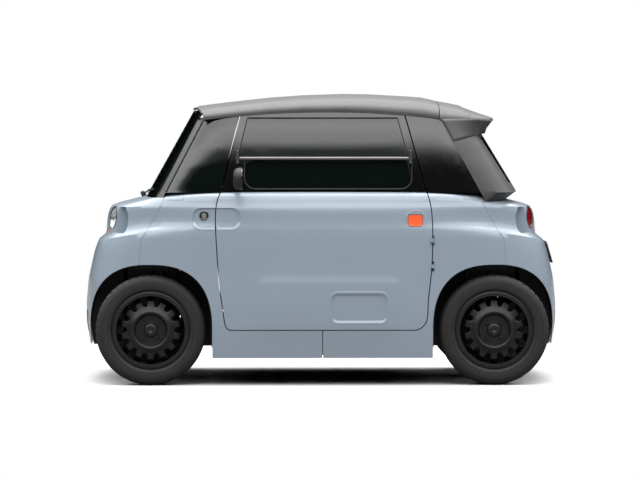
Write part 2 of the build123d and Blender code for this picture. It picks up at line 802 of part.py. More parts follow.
def rear_axle():
    """Beam with trailing arms, dampers and stub axles."""
    x, z = wheelbase / 2, tyre_radius
    parts = [rod((x, -track / 2 + 40, z), (x, track / 2 - 40, z), 30),
             rod((x, -track / 2 - 25, z), (x, track / 2 + 25, z), axle_radius - fit)]
    for side in (-1, 1):
        y = side * (rail_y + tube / 2 + fit + 5.5)
        parts.append(box(565, x, y - 5.5, y + 5.5, 255, 300))
        parts.append(rod((x, side * (track / 2 - kingpin_inset + 20), z), (x, side * (track / 2 - kingpin_inset + 27), z), 88))
        parts.append(rod((x, side * 415, z), (x, side * 415, tower_top - 18.3), 22))
    return joined(parts)


def tyre():
    """A tyre about the Y axis, at the origin."""
    w = tyre_width / 2
    bead = w - 17.5
    outer = [(-bead, flange_radius + 0.5), (-w + 3, flange_radius + 12), (-w, 226), (-w + 2.5, 250), (-w + 13, tyre_radius - 6),
             (-w + 36, tyre_radius - 1), (0, tyre_radius)]
    outer = outer + [(-y, r) for y, r in outer[-2::-1]]
    points = [Vector(0, y, r) for y, r in outer]
    low = rim_radius + 0.2
    a, b = Vector(0, bead, low), Vector(0, -bead, low)
    face = Face(Wire([Edge.make_spline(points), Edge.make_line(points[-1], a), Edge.make_line(a, b),
                      Edge.make_line(b, points[0])]))
    return revolve(face, Axis.Y, 360)


def rim():
    """Pressed steel wheel about the Y axis, outer side towards -Y."""
    w = tyre_width / 2 - 17.5
    d = -disc_depth
    barrel = [(-w - 6, flange_radius), (-w - 0.5, flange_radius), (-w - 0.5, rim_radius), (w + 0.5, rim_radius),
              (w + 0.5, flange_radius), (w + 6, flange_radius), (w + 6, rim_radius - rim_wall),
              (-w - 6, rim_radius - rim_wall)]
    disc = [(d, rim_radius - 3), (d, 128), (d - 16, 104), (d - 16, 84), (d + 8, 78), (d + 8, axle_radius),
            (24, axle_radius), (24, 48), (d + 14, 52), (d + 14, 84), (d - 8, 92), (d - 8, 98), (d + 6, 130),
            (d + 6, rim_radius - 3)]
    wheel = None
    for outline in (barrel, disc):
        face = Face(Wire.make_polygon([(0, y, r) for y, r in outline], close=True))
        ring = revolve(face, Axis.Y, 360)
        wheel = ring if wheel is None else wheel + ring
    for i in range(hole_count):
        angle = 2 * math.pi * i / hole_count
        x, z = hole_ring * math.cos(angle), hole_ring * math.sin(angle)
        wheel = wheel - rod((x, d - 20, z), (x, d + 20, z), hole_radius)
    cap = rod((0, d + 2, 0), (0, d + 8, 0), 40)
    return wheel + cap


seat_profile = [(-200, 424), (-200, 440), (-180, 452), (240, 418), (290, 470), (420, 1010), (444, 1004),
                (318, 455), (262, 392), (240, 386), (-170, 418)]
seat_pad = [(-178, 452.5), (-186, 490), (-160, 505), (180, 478), (236, 470), (240, 418.6)]
back_pad = [(290, 476), (239, 480), (261, 560), (299, 760), (345, 960), (383, 985), (411, 976)]
seat_y, seat_half, pad_half = 300, 215, 195
seat_stagger = 150
driver_x = 0


def seat_frame():
    """Shells of both seats, the right one further back, each on its pedestal."""
    parts = []
    for side, shift in ((-1, driver_x), (1, driver_x + seat_stagger)):
        y = side * seat_y
        shell = prism(polygon([(x + shift, z) for x, z in seat_profile]), y - seat_half, y + seat_half)
        foot = box(-150 + shift, -60 + shift, y - 150, y + 150, floor_z + fit + floor_wall, 425)
        back = box(60 + shift, 200 + shift, y - 150, y + 150, battery_top, 400)
        parts.append(shell + foot + back)
    return parts


def seat_pads():
    parts = []
    for side, shift in ((-1, driver_x), (1, driver_x + seat_stagger)):
        y = side * seat_y
        for outline in (seat_pad, back_pad):
            points = [(x + shift, z + fit) for x, z in outline]
            parts.append(prism(polygon(points), y - pad_half, y + pad_half))
    return parts


battery_top = 386


def battery_block():
    return box(110, 500, -520, 520, floor_z + fit + floor_wall, battery_top)


def drive_motor():
    """Motor block across the front axle line, with both drive shafts."""
    x = -wheelbase / 2
    return joined([rod((x, -150, 340), (x, 150, 340), 105), rod((x, -512, tyre_radius), (x, 512, tyre_radius), 12),
                   box(x - 60, x + 60, -289.7, 289.7, rail_low, 236)])


def dashboard():
    outline = [(-850, 905), (-700, 930), (-520, 938), (-455, 905), (-440, 850), (-460, 660), (-500, 610),
               (-544.7, 610), (-544.7, 880), (-760, 892), (-840, 892)]
    inside = filled(lower_rows(500), 70)
    return prism(polygon(outline), -600, 600) & inside


wheel_centre = (-106, -seat_y, 937)
column = (-0.8, 0, -0.6)
wheel_rim, wheel_grip = 165, 13


def steering_column():
    """Column from the wheel's hub into the dashboard."""
    start = [c + 12.3 * d for c, d in zip(wheel_centre, column)]
    end = [c + 470 * d for c, d in zip(wheel_centre, column)]
    return rod(start, end, 17)


def steering_wheel():
    place = Plane(origin=Vector(*wheel_centre), z_dir=Vector(*[-d for d in column]), x_dir=Vector(0, 1, 0))
    ring = place * Torus(wheel_rim, wheel_grip)
    hub = place * Cylinder(45, 24)
    parts = [ring, hub]
    for angle in (0, 180, 270):
        parts.append(place * Rot(0, 0, angle) * Pos(wheel_rim / 2 + 15, 0, 0) * Box(wheel_rim - 30, 26, 12))
    return joined(parts)


mirror_x, mirror_z, mirror_radius, mirror_depth = -428, 1041, 55, 42


def door_mirror():
    """Round mirror on a short arm at the front lower corner of the door window."""
    y = -(cabin_side(mirror_z) + 140)
    head = rod((mirror_x - mirror_depth / 2, y, mirror_z), (mirror_x + mirror_depth / 2, y, mirror_z), mirror_radius)
    foot = -(cabin_side(1010) - 8)
    arm = rod((mirror_x - 5, foot, 1010), (mirror_x, y + 30, mirror_z - 10), 10)
    return (head + arm) - filled(cabin_rows([980, 1040]), -0.3)


def wiper():
    """Wiper with its pivot at the foot of the windscreen."""
    knob = rod((-918, 60, 938), (-928, 60, 953), 14)
    arm = rod((-925, 60, 951), (-886, -200, 978), 5)
    blade = rod((-900, 30, 966), (-872, -430, 990), 5)
    return (knob + arm + blade) - body_top


def lock_button():
    """Round black lock on the fender, in the front of the handle dish."""
    layer = side_band(lower_rows(700, 960), 1, handle_depth - fit)
    return layer & rod((-595, -900, 854), (-595, -300, 854), 22)


def plate():
    """Blank number plate on the slope of the rear bumper."""
    outline = [(half_length - 22.8, 600), (half_length - 20, 600), (half_length - 52, 708), (half_length - 54.8, 708)]
    return prism(polygon(outline), -260, 260)


nodes = {}


def add(name, shape):
    nodes[name] = shape


def group(shapes):
    return Compound([solid for shape in shapes for solid in shape.solids()])


body_top, roof_space, edge_space, dish = on_body(), above_roof(), above_edge(), handle_hollow()
door_belt = (door_front[0][0], -door_rear[-1][0]), (door_rear[-1][0], -door_front[0][0])

add("front_clip", front_clip())
add("rear_clip", turned(nodes["front_clip"]))
add("side_panel_front_left", side_panel_front(dish))
add("side_panel_rear_left", side_panel_rear())
add("side_panel_rear_right", turned(nodes["side_panel_front_left"]))
add("side_panel_front_right", turned(nodes["side_panel_rear_left"]))
add("door_left", door_shell(dish))
add("door_right", turned(nodes["door_left"]))
add("door_glass_left", group(door_glass()))
add("door_glass_right", turned(nodes["door_glass_left"]))
add("door_marker_left", door_marker())
add("door_marker_right", turned(nodes["door_marker_left"]))
add("door_mirror_left", door_mirror())
add("door_mirror_right", mirrored(nodes["door_mirror_left"]))
add("lock_buttons", group([lock_button(), turned(lock_button())]))
add("headlamps", group(lamps(lamp_y, lamp_z, lamp_radius)))
add("tail_lamps", turned(nodes["headlamps"]))
indicators = group(lamps(marker_y, marker_z, marker_radius))
add("indicators", group([indicators, turned(indicators)]))
add("roof", roof())
add("spoiler", spoiler())
add("windscreen", windscreen())
strip = front_pillar()
add("front_pillars", group([strip, mirrored(strip)]))
add("quarter_glass", group([quarter_glass(door_belt[0][0]), mirrored(quarter_glass(door_belt[0][1]))]))
add("rear_quarter_panels", group([rear_quarter(door_belt[1][0]), mirrored(rear_quarter(door_belt[1][1]))]))
add("tail_panel", tail_panel())
add("rear_window", rear_window())
liner = wheel_liner()
liners = group([liner, mirrored(liner)])
add("wheel_liners", group([liners, turned(liners)]))
add("chassis_frame", chassis_frame())
jamb = door_jamb()
add("door_jambs", group([jamb, turned(jamb)]))
add("cabin_frame", group([cabin_side_frame(False), mirrored(cabin_side_frame(True))] + cross_bows()))
front_wall, rear_wall = bulkheads()
add("cabin_floor", floor_pan() + front_wall + rear_wall)
arms = front_suspension()
add("front_suspension", group([arms, mirrored(arms)]))
add("rear_axle", rear_axle())
add("knuckle_left", knuckle())
add("knuckle_right", mirrored(nodes["knuckle_left"]))
add("drive_motor", drive_motor())
add("battery_block", battery_block())
add("seat_frames", group(seat_frame()))
add("seat_pads", group(seat_pads()))
add("dashboard", dashboard() + steering_column())
add("steering_wheel", steering_wheel())
add("wiper", wiper())
add("rear_plate", plate())
wheel_tyre, wheel_rim_left = tyre(), rim()
for end, x in (("front", -wheelbase / 2), ("rear", wheelbase / 2)):
    for name, side in (("left", -1), ("right", 1)):
        place = Location((x, side * track / 2, tyre_radius))
        facing = wheel_rim_left if side < 0 else turned(wheel_rim_left)
        add(f"tyre_{end}_{name}", wheel_tyre.moved(place))
        add(f"rim_{end}_{name}", facing.moved(place))

os.makedirs("parts", exist_ok=True)
for name, shape in nodes.items():
    export_step(shape, f"parts/{name}.step")
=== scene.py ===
import json
import math

import bmesh
import bpy
from mathutils import Matrix, Vector
from mathutils.bvhtree import BVHTree


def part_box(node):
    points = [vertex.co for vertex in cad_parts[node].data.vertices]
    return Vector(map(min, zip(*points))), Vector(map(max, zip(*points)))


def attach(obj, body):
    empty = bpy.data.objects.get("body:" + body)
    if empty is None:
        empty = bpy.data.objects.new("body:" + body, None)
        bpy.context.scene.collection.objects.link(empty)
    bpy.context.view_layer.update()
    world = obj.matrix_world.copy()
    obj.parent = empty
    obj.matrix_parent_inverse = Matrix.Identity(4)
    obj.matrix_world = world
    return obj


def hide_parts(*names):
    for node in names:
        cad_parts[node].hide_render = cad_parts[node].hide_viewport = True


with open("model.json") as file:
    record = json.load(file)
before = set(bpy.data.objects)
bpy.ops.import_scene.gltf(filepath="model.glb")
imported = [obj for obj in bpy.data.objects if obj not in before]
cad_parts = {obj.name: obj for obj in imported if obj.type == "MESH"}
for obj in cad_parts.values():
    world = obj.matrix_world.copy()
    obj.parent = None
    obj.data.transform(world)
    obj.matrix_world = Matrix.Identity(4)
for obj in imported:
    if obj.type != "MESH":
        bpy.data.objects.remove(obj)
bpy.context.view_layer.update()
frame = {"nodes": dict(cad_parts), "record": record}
nodes = frame["nodes"]
scene = bpy.context.scene
scene.view_settings.view_transform = "Standard"

# Materials


def new_material(name):
    """A material with its node tree, shader and object coordinates."""
    material = bpy.data.materials.new(name)
    material.use_nodes = True
    tree = material.node_tree
    shader = tree.nodes["Principled BSDF"]
    place = tree.nodes.new("ShaderNodeTexCoord").outputs["Object"]
    return material, tree, shader, place


def noise(tree, place, scale, detail=3.0):
    node = tree.nodes.new("ShaderNodeTexNoise")
    node.inputs["Scale"].default_value = scale
    node.inputs["Detail"].default_value = detail
    tree.links.new(place, node.inputs["Vector"])
    return node.outputs["Fac"]


def ramp(tree, value, stops):
    """Colours along a value: stops are (position, colour)."""
    node = tree.nodes.new("ShaderNodeValToRGB")
    elements = node.color_ramp.elements
    while len(elements) < len(stops):
        elements.new(0.5)
    for element, (position, colour) in zip(elements, stops):
        element.position = position
        element.color = (*colour, 1)
    tree.links.new(value, node.inputs["Fac"])
    return node.outputs["Color"]


def remap(tree, value, low, high, to_low, to_high):
    node = tree.nodes.new("ShaderNodeMapRange")
    for key, number in zip(("From Min", "From Max", "To Min", "To Max"), (low, high, to_low, to_high)):
        node.inputs[key].default_value = number
    tree.links.new(value, node.inputs["Value"])
    return node.outputs["Result"]


def bump(tree, shader, height, strength, distance):
    node = tree.nodes.new("ShaderNodeBump")
    node.inputs["Strength"].default_value = strength
    node.inputs["Distance"].default_value = distance
    tree.links.new(height, node.inputs["Height"])
    tree.links.new(node.outputs["Normal"], shader.inputs["Normal"])


def shade(colour, factor):
    return tuple(min(1.0, c * factor) for c in colour)


def moulded(name, colour, rough, grain=900, depth=0.0001, strength=0.25, spread=0.06, coat=0.0, metal=0.0):
    """Plastic, paint or enamel: a little uneven in tone and gloss, with a fine grain."""
    material, tree, shader, place = new_material(name)
    broad = noise(tree, place, 6)
    tone = ramp(tree, broad, [(0.3, shade(colour, 1 - spread)), (0.7, shade(colour, 1 + spread))])
    tree.links.new(tone, shader.inputs["Base Color"])
    fine = noise(tree, place, 45, 4)
    tree.links.new(remap(tree, fine, 0.3, 0.7, rough - 0.04, rough + 0.04), shader.inputs["Roughness"])
    bump(tree, shader, noise(tree, place, grain, 2), strength, depth)
    shader.inputs["Coat Weight"].default_value = coat
    shader.inputs["Coat Roughness"].default_value = 0.12
    shader.inputs["Metallic"].default_value = metal
    return material


body_paint = moulded("body_paint", (0.285, 0.345, 0.405), 0.34, grain=400, depth=0.00003, strength=0.1,
                     spread=0.012, coat=0.6)
black_plastic = moulded("black_plastic", (0.014, 0.014, 0.015), 0.55, grain=1500)
roof_grey = moulded("roof_grey", (0.06, 0.06, 0.061), 0.52, grain=1200, depth=0.00005, strength=0.15,
                    spread=0.02, coat=0.1)
gloss_black = moulded("gloss_black", (0.004, 0.004, 0.0042), 0.14, grain=300, depth=0.00002, strength=0.03, coat=1.0)
steel_black = moulded("steel_black", (0.007, 0.007, 0.007), 0.42, grain=700)
frame_steel = moulded("frame_steel", (0.03, 0.03, 0.032), 0.5, grain=500, strength=0.4)
tyre_rubber = moulded("tyre_rubber", (0.015, 0.015, 0.0155), 0.74, grain=1100, strength=0.5, spread=0.15)
seat_fabric = moulded("seat_fabric", (0.035, 0.035, 0.04), 0.85, grain=1400, strength=0.7, spread=0.2)
seat_fabric.node_tree.nodes["Principled BSDF"].inputs["Sheen Weight"].default_value = 0.3
lamp_red = moulded("lamp_red", (0.3, 0.008, 0.01), 0.12, grain=200, depth=0.00005, coat=0.5)
lamp_amber = moulded("lamp_amber", (0.98, 0.13, 0.035), 0.3, grain=250, depth=0.0001)
plate_white = moulded("plate_white", (0.72, 0.72, 0.72), 0.4)
motor_metal = moulded("motor_metal", (0.42, 0.42, 0.43), 0.45, grain=350, strength=0.5, metal=0.9)
battery_case = moulded("battery_case", (0.06, 0.06, 0.065), 0.6)


def clear(name, colour, rough, alpha):
    """Tinted pane: the tint is even, and what lies behind it shows through."""
    material, tree, shader, place = new_material(name)
    tone = ramp(tree, noise(tree, place, 3), [(0.3, shade(colour, 0.95)), (0.7, shade(colour, 1.05))])
    tree.links.new(tone, shader.inputs["Base Color"])
    shader.inputs["Roughness"].default_value = rough
    shader.inputs["Alpha"].default_value = alpha
    shader.inputs["Coat Weight"].default_value = 1.0
    shader.inputs["Coat Roughness"].default_value = rough
    return material


tinted_glass = clear("tinted_glass", (0.004, 0.007, 0.006), 0.05, 0.86)
lamp_clear = clear("lamp_clear", (0.6, 0.63, 0.66), 0.05, 0.35)

FINISHES = {
    "front_clip": body_paint, "rear_clip": body_paint,
    "roof": roof_grey, "spoiler": roof_grey, "tail_panel": roof_grey, "rear_quarter_panels": gloss_black,
    "windscreen": tinted_glass, "quarter_glass": tinted_glass, "rear_window": tinted_glass,
    "front_pillars": roof_grey, "lock_buttons": black_plastic, "wiper": black_plastic,
    "headlamps": lamp_clear, "tail_lamps": lamp_red, "indicators": lamp_amber,
    "wheel_liners": black_plastic, "chassis_frame": frame_steel, "door_jambs": black_plastic,
    "cabin_frame": black_plastic, "cabin_floor": black_plastic, "front_suspension": frame_steel,
    "rear_axle": frame_steel, "knuckle_left": steel_black, "knuckle_right": steel_black,
    "drive_motor": motor_metal, "battery_block": battery_case, "seat_frames": black_plastic,
    "seat_pads": seat_fabric, "dashboard": black_plastic, "steering_wheel": black_plastic,
    "rear_plate": plate_white,
}
for side in ("left", "right"):
    FINISHES[f"door_{side}"] = body_paint
    FINISHES[f"door_glass_{side}"] = tinted_glass
    FINISHES[f"door_marker_{side}"] = lamp_amber
    FINISHES[f"door_mirror_{side}"] = black_plastic
    for end in ("front", "rear"):
        FINISHES[f"side_panel_{end}_{side}"] = body_paint
        FINISHES[f"tyre_{end}_{side}"] = tyre_rubber
        FINISHES[f"rim_{end}_{side}"] = steel_black
for name, node in nodes.items():
    node.data.materials.clear()
    node.data.materials.append(FINISHES[name])

# Body panels, smoothed over the joins of their surfaces


def body_name(node):
    for body, members in frame["record"]["behaviour"]["bodies"].items():
        if node in members:
            return body
    return None


CABIN_WIDTHS = [(0.92, 0.636), (0.974, 0.626), (1.1, 0.604), (1.2, 0.584), (1.3, 0.561), (1.37, 0.541)]
BELT, SIDE_TOP, SIDE_BOW = 0.974, 1.376, 0.008


def side_bow(z):
    """How far the glazed sides bow out at a height."""
    share = (z - BELT) / (SIDE_TOP - BELT)
    return SIDE_BOW * math.sin(math.pi * share) if 0 < share < 1 else 0.0


def cabin_half(z):
    """Half width of the cabin at a height."""
    for (za, wa), (zb, wb) in zip(CABIN_WIDTHS, CABIN_WIDTHS[1:]):
        if z <= zb:
            break
    return wa + (wb - wa) * (z - za) / (zb - za) + side_bow(z)


def smooth_copy(node, angle=32):
    """A copy of a node, merged, bowed above the belt and shaded smooth, that stands for it."""
    mesh = nodes[node].data.copy()
    shape = bmesh.new()
    shape.from_mesh(mesh)
    bmesh.ops.remove_doubles(shape, verts=shape.verts, dist=0.00002)
    for vert in shape.verts:
        vert.co.y *= 1 + side_bow(vert.co.z) / cabin_half(vert.co.z)
    shape.to_mesh(mesh)
    shape.free()
    if "custom_normal" in mesh.attributes:
        mesh.attributes.remove(mesh.attributes["custom_normal"])
    mesh.shade_smooth()
    mesh.set_sharp_from_angle(angle=math.radians(angle))
    piece = bpy.data.objects.new(f"{node}_skin", mesh)
    scene.collection.objects.link(piece)
    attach(piece, body_name(node))
    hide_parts(node)
    return piece


def second_finish(piece, material, chosen):
    """Gives a second material to the faces that a test chooses."""
    piece.data.materials.append(material)
    for face in piece.data.polygons:
        if chosen(face):
            face.material_index = 1


SMOOTHED = ["front_clip", "rear_clip", "side_panel_front_left", "side_panel_front_right", "side_panel_rear_left",
            "side_panel_rear_right", "door_left", "door_right", "roof", "spoiler", "tail_panel",
            "rear_quarter_panels", "quarter_glass", "windscreen", "front_pillars", "rear_window",
            "door_glass_left", "door_glass_right"]
skins = {name: smooth_copy(name) for name in SMOOTHED}
for side in ("left", "right"):
    second_finish(skins[f"door_{side}"], gloss_black, lambda face: face.center.z > BELT + 0.0005)
# Painted shade: the downward-facing faces low on the tail panel get black plastic, because they lie in shade facing
# the floor
second_finish(skins["tail_panel"], black_plastic, lambda face: face.normal.z < -0.3 and face.center.z < 1)

# Shapes made from operators


def new_piece(name, shape, body, material, smooth=30):
    """Finishes a bmesh as a piece that rides on a body."""
    bmesh.ops.remove_doubles(shape, verts=shape.verts, dist=0.00001)
    bmesh.ops.recalc_face_normals(shape, faces=shape.faces)
    mesh = bpy.data.meshes.new(name)
    shape.to_mesh(mesh)
    shape.free()
    mesh.shade_smooth()
    mesh.set_sharp_from_angle(angle=math.radians(smooth))
    mesh.materials.append(material)
    piece = bpy.data.objects.new(name, mesh)
    scene.collection.objects.link(piece)
    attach(piece, body)
    return piece


def turn_profile(shape, profile, steps, closed=False):
    """Spins (along, radius) points about the Y axis and returns the new faces."""
    verts = [shape.verts.new((0, along, radius)) for along, radius in profile]
    edges = [shape.edges.new(pair) for pair in zip(verts, verts[1:])]
    if closed:
        edges.append(shape.edges.new((verts[-1], verts[0])))
    before = set(shape.faces)
    bmesh.ops.spin(shape, geom=verts + edges, cent=(0, 0, 0), axis=(0, 1, 0), angle=math.tau, steps=steps,
                   use_merge=True)
    return [face for face in shape.faces if face not in before]


def add_rod(shape, start, end, radius, segments=20, end_radius=None):
    """A round bar between two points."""
    start, end = Vector(start), Vector(end)
    turn = (end - start).to_track_quat("Z", "Y").to_matrix().to_4x4()
    bmesh.ops.create_cone(shape, cap_ends=True, segments=segments, radius1=radius,
                          radius2=radius if end_radius is None else end_radius, depth=(end - start).length,
                          matrix=Matrix.Translation((start + end) / 2) @ turn)


def loft(shape, rows, closed=False):
    """Skin through rows of points, each row extruded from the one before."""
    verts = [shape.verts.new(point) for point in rows[0]]
    ends = verts[1:] + verts[:1] if closed else verts[1:]
    edges = [shape.edges.new(pair) for pair in zip(verts, ends)]
    for row in rows[1:]:
        made = bmesh.ops.extrude_edge_only(shape, edges=edges)["geom"]
        twins = {tuple(item.co): item for item in made if isinstance(item, bmesh.types.BMVert)}
        verts = [twins[tuple(vert.co)] for vert in verts]
        for vert, point in zip(verts, row):
            vert.co = point
        ends = verts[1:] + verts[:1] if closed else verts[1:]
        edges = [shape.edges.get(pair) for pair in zip(verts, ends)]


def add_ball(shape, centre, radius):
    bmesh.ops.create_uvsphere(shape, u_segments=20, v_segments=12, radius=radius,
                              matrix=Matrix.Translation(centre))


def tube(name, points, radius, body, material, closed=False):
    """A thin moulding along points."""
    curve = bpy.data.curves.new(name, "CURVE")
    curve.dimensions = "3D"
    curve.bevel_depth = radius
    curve.bevel_resolution = 2
    line = curve.splines.new("POLY")
    line.points.add(len(points) - 1)
    for point, place in zip(line.points, points):
        point.co = (*place, 1)
    line.use_cyclic_u = closed
    curve.materials.append(material)
    piece = bpy.data.objects.new(name, curve)
    scene.collection.objects.link(piece)
    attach(piece, body)
    return piece


# Wheels

TYRE_RADIUS = 0.277
AXLE = 0.864
HALF_TRACK = 0.588
TEETH = 14
TOOTH_STEPS = 16
TOOTH_END = 0.146
NOTCH_DEPTH = 0.024
NOTCH_HALF = 0.25


def wheel_rim(name, body, side, centre):
    """Pressed steel wheel with a notched disc, raised ring and hub."""
    shape = bmesh.new()
    barrel = [(-0.066, 0.173), (-0.067, 0.180), (-0.0665, 0.192), (-0.0645, 0.195), (-0.0615, 0.1945),
              (-0.0605, 0.191), (-0.0605, 0.182), (-0.056, 0.178), (-0.03, 0.1775), (0.03, 0.1775), (0.056, 0.178),
              (0.0605, 0.182), (0.0605, 0.192), (0.063, 0.195), (0.066, 0.192), (0.066, 0.176), (0.058, 0.173),
              (0.03, 0.1725), (-0.03, 0.1725), (-0.05, 0.172), (-0.06, 0.1725)]
    turn_profile(shape, barrel, 96, closed=True)
    disc = [(0.0, 0.1735), (-0.006, 0.172), (-0.038, TOOTH_END), (-0.042, 0.119), (-0.045, 0.112), (-0.053, 0.1),
            (-0.0565, 0.095), (-0.0575, 0.09), (-0.056, 0.085), (-0.051, 0.081), (-0.036, 0.078), (-0.032, 0.074),
            (-0.031, 0.05), (-0.033, 0.036), (-0.042, 0.033), (-0.046, 0.028), (-0.0475, 0.018), (-0.048, 0.004)]
    faces = turn_profile(shape, disc, TEETH * TOOTH_STEPS)
    pitch = math.tau / TEETH
    holes = []
    for face in faces:
        middle = face.calc_center_median()
        reach = math.hypot(middle.x, middle.z)
        share = (math.atan2(middle.x, middle.z) / pitch) % 1
        if TOOTH_END < reach < 0.171 and abs(share - 0.5) < NOTCH_HALF:
            holes.append(face)
    for vert in {vert for face in faces for vert in face.verts}:
        reach = math.hypot(vert.co.x, vert.co.z)
        share = (math.atan2(vert.co.x, vert.co.z) / pitch) % 1
        off = abs(share - 0.5) / NOTCH_HALF
        if abs(reach - TOOTH_END) < 0.0005 and off < 1:
            factor = (TOOTH_END - NOTCH_DEPTH * math.sqrt(1 - off * off)) / reach
            vert.co.x *= factor
            vert.co.z *= factor
    bmesh.ops.delete(shape, geom=holes, context="FACES")
    bmesh.ops.create_circle(shape, cap_ends=True, segments=24, radius=0.0045,
                            matrix=Matrix.Translation((0, -0.048, 0)) @ Matrix.Rotation(math.pi / 2, 4, "X"))
    place = Matrix.Translation(centre) @ Matrix.Rotation(0 if side < 0 else math.pi, 4, "Z")
    shape.transform(place)
    rim = new_piece(name, shape, body, steel_black, 40)
    wall = rim.modifiers.new("wall", "SOLIDIFY")
    wall.thickness = 0.003
    wall.offset = -1
    bolts = bmesh.new()
    for i in range(4):
        angle = math.pi / 4 + i * math.pi / 2
        x, z = 0.049 * math.cos(angle), 0.049 * math.sin(angle)
        add_rod(bolts, (x, -0.028, z), (x, -0.035, z), 0.0125, 24, 0.011)
        add_rod(bolts, (x, -0.03, z), (x, -0.046, z), 0.0095, 6, 0.0085)
    stem_angle = math.radians(-60)
    stem = Vector((0.155 * math.cos(stem_angle), -0.045, 0.155 * math.sin(stem_angle)))
    add_rod(bolts, stem + Vector((0, 0.03, 0)), stem, 0.004, 12)
    bolts.transform(place)
    hub = new_piece(f"{name}_bolts", bolts, body, steel_black, 30)
    return rim


def wheel_tyre(name, body, side, centre):
    """Tyre with ringed sidewalls, three grooves and shoulder cuts."""
    shape = bmesh.new()
    wall = [(0.0595, 0.1958), (0.066, 0.2), (0.0735, 0.206), (0.0762, 0.2115), (0.0765, 0.2145), (0.0752, 0.2165),
            (0.0768, 0.2185), (0.0774, 0.226), (0.0775, 0.234), (0.0772, 0.2405), (0.0758, 0.242), (0.0768, 0.2435),
            (0.0755, 0.25), (0.0725, 0.2575), (0.068, 0.2645), (0.063, 0.2695), (0.0565, 0.2728), (0.05, 0.2745),
            (0.037, 0.276), (0.0358, 0.2705), (0.0322, 0.2705), (0.031, 0.2763), (0.016, 0.2768), (0.004, 0.277),
            (0.003, 0.271)]
    profile = [(-y, r) for y, r in wall] + [(y, r) for y, r in reversed(wall)]
    profile += [(0.058, 0.19), (0.0, 0.188), (-0.058, 0.19)]
    faces = turn_profile(shape, profile, 180, closed=True)
    cuts = []
    for face in faces:
        middle = face.calc_center_median()
        reach = math.hypot(middle.x, middle.z)
        step = int((math.atan2(middle.x, middle.z) / math.tau) % 1 * 180)
        if 0.037 < abs(middle.y) < 0.064 and reach > 0.268 and step % 4 == 0:
            cuts.append(face)
        elif 0.005 < abs(middle.y) < 0.03 and reach > 0.2755 and step % 6 == (0 if middle.y < 0 else 3):
            cuts.append(face)
    made = bmesh.ops.extrude_face_region(shape, geom=cuts)
    bmesh.ops.delete(shape, geom=cuts, context="FACES_ONLY")
    for vert in [item for item in made["geom"] if isinstance(item, bmesh.types.BMVert)]:
        reach = math.hypot(vert.co.x, vert.co.z)
        vert.co.x *= (reach - 0.004) / reach
        vert.co.z *= (reach - 0.004) / reach
    shape.transform(Matrix.Translation(centre) @ Matrix.Rotation(0 if side < 0 else math.pi, 4, "Z"))
    tyre = new_piece(name, shape, body, tyre_rubber, 28)
    return tyre


for end, x in (("front", -AXLE), ("rear", AXLE)):
    for side, sign in (("left", -1), ("right", 1)):
        centre = (x, sign * HALF_TRACK, TYRE_RADIUS)
        body = body_name(f"rim_{end}_{side}")
        rim = wheel_rim(f"wheel_rim_{end}_{side}", body, sign, centre)
        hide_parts(f"rim_{end}_{side}")
        tyre = wheel_tyre(f"wheel_tyre_{end}_{side}", body, sign, centre)
        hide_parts(f"tyre_{end}_{side}")

# Door and cabin fittings

def on_side(x, z, sign, proud=0.0):
    """A point on the outer face of the cabin's left side, or turned to the right side."""
    return (-sign * x, sign * (cabin_half(z) + proud), z)


def rounded_outline(x0, x1, z0, z1, radius, steps=6):
    """Corners of a rounded rectangle in side view."""
    points = []
    for x, z, start in ((x1 - radius, z1 - radius, 0), (x0 + radius, z1 - radius, 90),
                        (x0 + radius, z0 + radius, 180), (x1 - radius, z0 + radius, 270)):
        for i in range(steps + 1):
            angle = math.radians(start + 90 * i / steps)
            points.append((x + radius * math.cos(angle), z + radius * math.sin(angle)))
    return points


UPPER_PANE = [(-0.426, 1.147), (0.433, 1.147), (0.379, 1.345), (-0.378, 1.345)]
BAR_HEIGHT = 1.14


def door_fittings(side, sign):
    """Window seals, hinge bar with its knobs, and latch posts of one door."""
    body = f"door_{side}"
    upper = []
    for (xa, za), (xb, zb) in zip(UPPER_PANE, UPPER_PANE[1:] + UPPER_PANE[:1]):
        upper += [on_side(xa + (xb - xa) * i / 8, za + (zb - za) * i / 8, sign, -0.001) for i in range(8)]
    outline = rounded_outline(-0.392, 0.45, 0.986, 1.18, 0.055)
    lower = [on_side(x, z, sign, -0.001) for x, z in outline[14:] + outline[:1] if z < 1.136]
    lower = [on_side(-0.392, 1.134, sign, -0.001)] + lower + [on_side(0.45, 1.134, sign, -0.001)]
    seal = tube(f"upper_seal_{side}", upper, 0.0022, body, black_plastic, closed=True)
    seal = tube(f"lower_seal_{side}", lower, 0.0035, body, black_plastic)
    shape = bmesh.new()
    add_rod(shape, on_side(-0.425, BAR_HEIGHT, sign, 0.002), on_side(0.44, BAR_HEIGHT, sign, 0.002), 0.0075, 20)
    bar = new_piece(f"window_bar_{side}", shape, body, bar_metal)
    shape = bmesh.new()
    for x in (-0.427, 0.443):
        base, top = on_side(x, BAR_HEIGHT - 0.022, sign, 0.006), on_side(x, BAR_HEIGHT + 0.034, sign, 0.006)
        add_rod(shape, base, top, 0.0075, 20)
        add_ball(shape, top, 0.0085)
        add_ball(shape, base, 0.0085)
        add_rod(shape, on_side(x, BAR_HEIGHT, sign, -0.004), on_side(x, BAR_HEIGHT, sign, 0.012), 0.0135, 24, 0.011)
    knobs = new_piece(f"window_knobs_{side}", shape, body, latch_grey)


